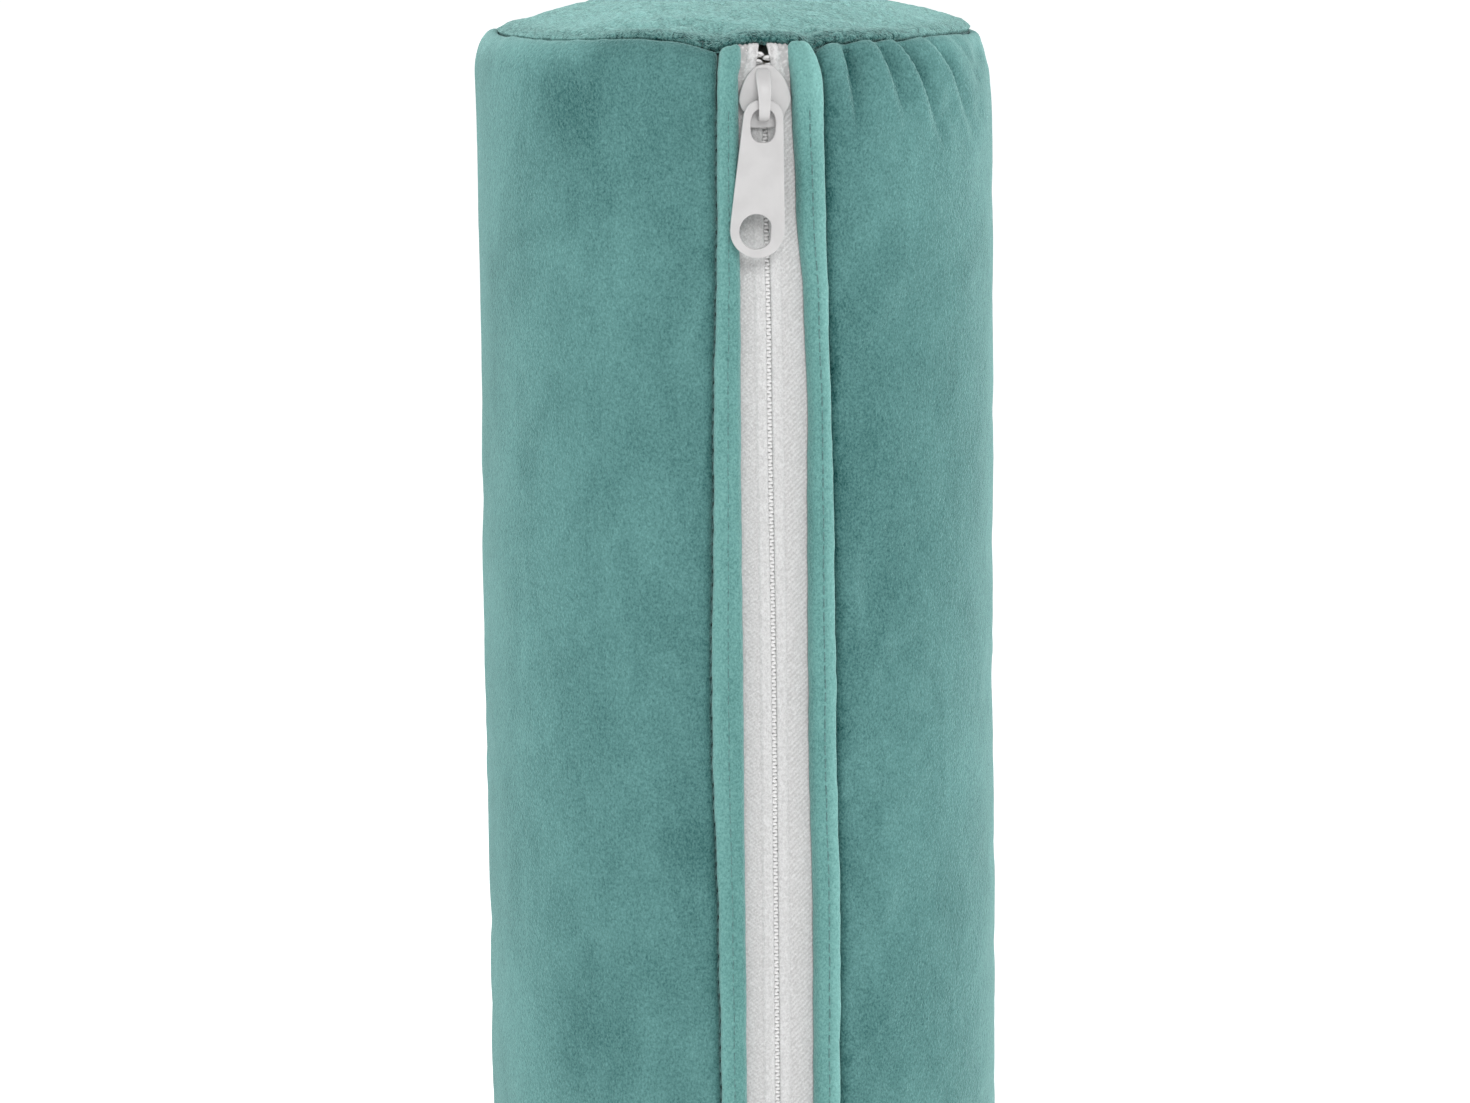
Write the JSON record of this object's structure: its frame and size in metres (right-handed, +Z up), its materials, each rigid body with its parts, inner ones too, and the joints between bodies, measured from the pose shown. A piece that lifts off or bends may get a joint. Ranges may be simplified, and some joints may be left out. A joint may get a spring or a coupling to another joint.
{
  "type": "bolster pillow",
  "caption": "Round velvet bolster pillow with domed end panels, foam core in an inner case, and a long exposed coil zip with a slider and pull tab.",
  "frame": {"origin": "middle of the flat lower end that the bolster stands on", "axes": "+Z up along the bolster to the domed upper end where the closed zip slider is, -Y out through the zip, +X to the right when facing the zip"},
  "size_m": [0.102, 0.1049, 0.432],
  "materials": {
    "velvet": "matte",
    "velvet_strip": "matte",
    "lining": "matte",
    "foam": "matte",
    "sewing_thread": "satin",
    "lining_thread": "satin",
    "zip_tape": "matte",
    "zip_coil": "satin",
    "coil_cord": "matte",
    "white_enamel": "gloss"
  },
  "bodies": {
    "cushion": {"side_panel": "velvet", "end_panel_upper": "velvet", "end_panel_lower": "velvet", "zip_strip_left": "velvet_strip", "zip_strip_right": "velvet_strip", "liner_sleeve": "lining", "liner_end_upper": "lining", "liner_end_lower": "lining", "foam_core": "foam", "end_seam_thread_upper": "sewing_thread", "end_seam_thread_lower": "sewing_thread", "liner_seam_thread_upper": "lining_thread", "liner_seam_thread_lower": "lining_thread", "strip_seam_thread_left": "sewing_thread", "strip_seam_thread_right": "sewing_thread", "tape_stitch_left": "sewing_thread", "tape_stitch_right": "sewing_thread", "zipper_tape_left": "zip_tape", "zipper_tape_right": "zip_tape", "zipper_coil_left": "zip_coil", "zipper_coil_right": "zip_coil", "coil_cord_left": "coil_cord", "coil_cord_right": "coil_cord", "bar_tack_lower": "lining_thread"},
    "slider": {"slider_body": "white_enamel"},
    "tab": {"pull_tab": "white_enamel"}
  },
  "joints": [
    {"name": "slider_travel", "type": "slide", "parent": "cushion", "child": "slider", "axis": [0, 0, 1], "range_m": [-0.38, 0]},
    {"name": "pull_tab_swing", "type": "hinge", "parent": "slider", "child": "tab", "pos_m": [-0.0004, -0.0514, 0.4118], "axis": [-0.9978, 0, 0.0663], "range_deg": [0, 170]}
  ]
}
